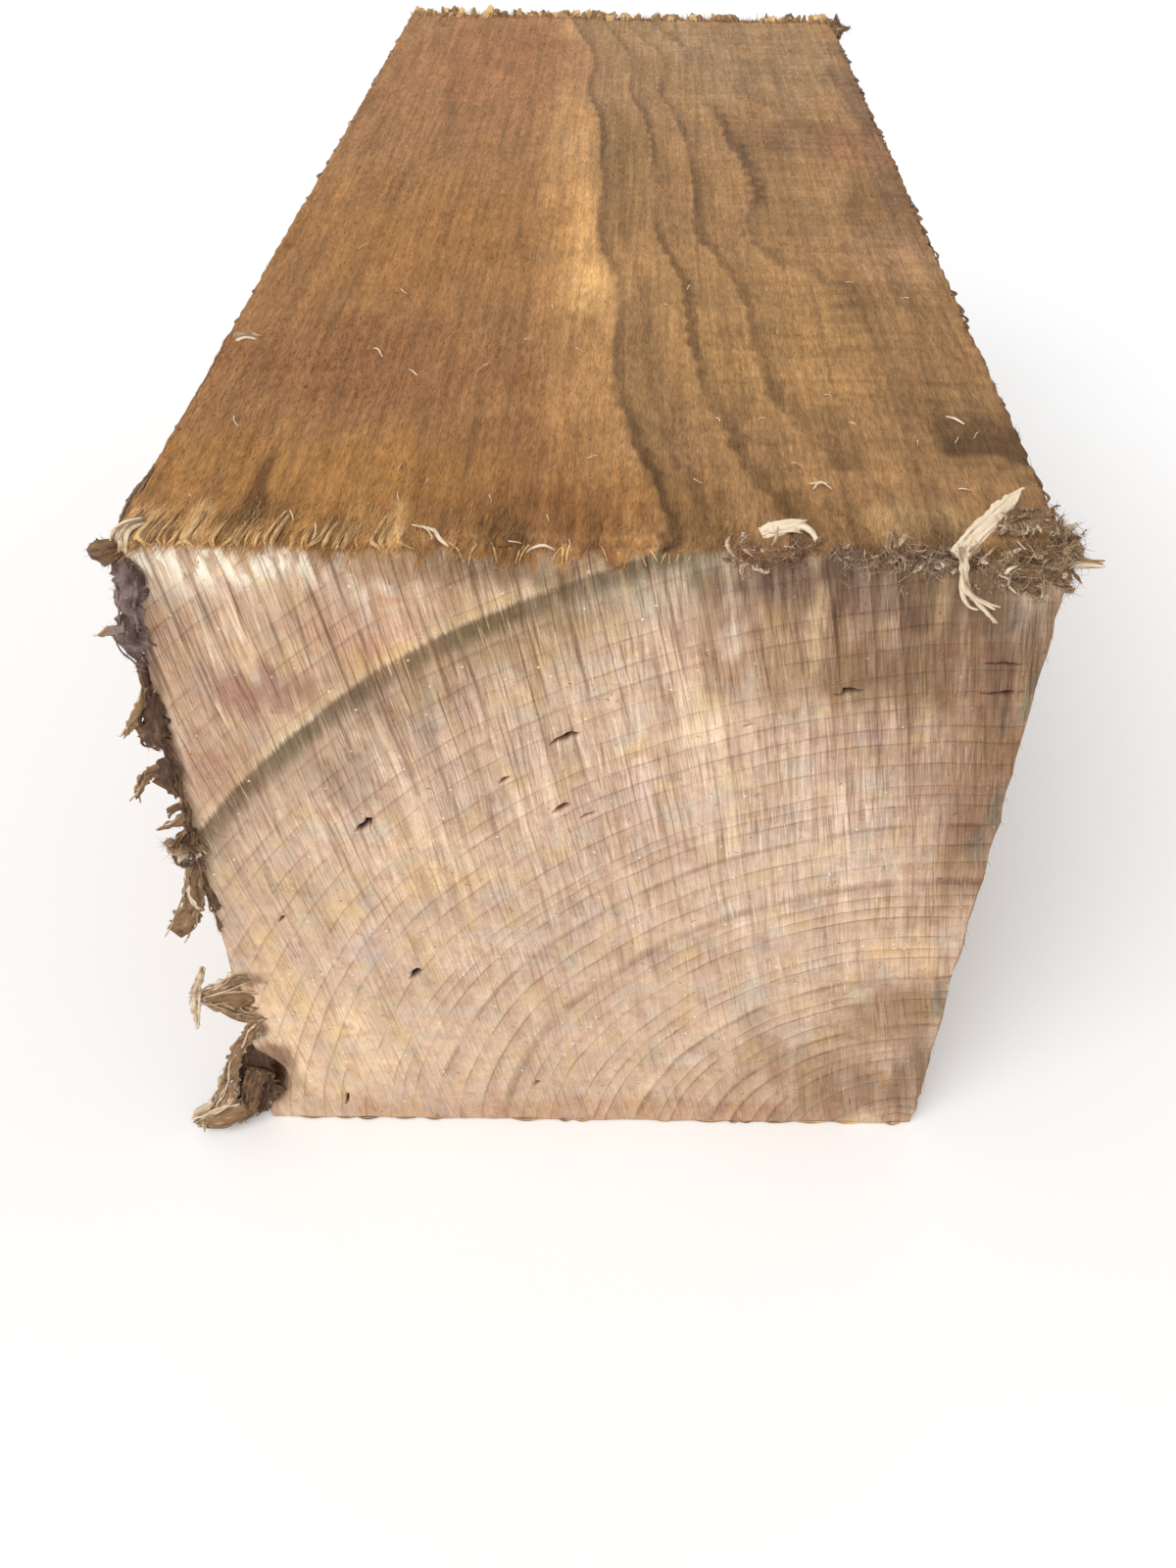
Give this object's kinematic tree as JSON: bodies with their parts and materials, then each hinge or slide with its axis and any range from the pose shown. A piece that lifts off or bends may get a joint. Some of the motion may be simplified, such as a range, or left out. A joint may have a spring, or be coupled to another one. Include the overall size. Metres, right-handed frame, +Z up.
{
  "type": "rough-sawn timber block",
  "caption": "Short length of rough-sawn square hardwood timber with a cross-cut end that shows growth rings and drying checks, a torn lip of splinters on one arris and woolly sawn faces.",
  "frame": {"origin": "centre of the base face, midway between the two ends", "axes": "+Z up from the base face, +Y along the grain from the torn near end to the far end, +X to the right when looking along +Y"},
  "size_m": [0.1075, 0.2375, 0.1043],
  "materials": {
    "sawn_wood": "rough-sawn, unfinished"
  },
  "bodies": {
    "root": {"timber_block": "sawn_wood"}
  },
  "joints": []
}
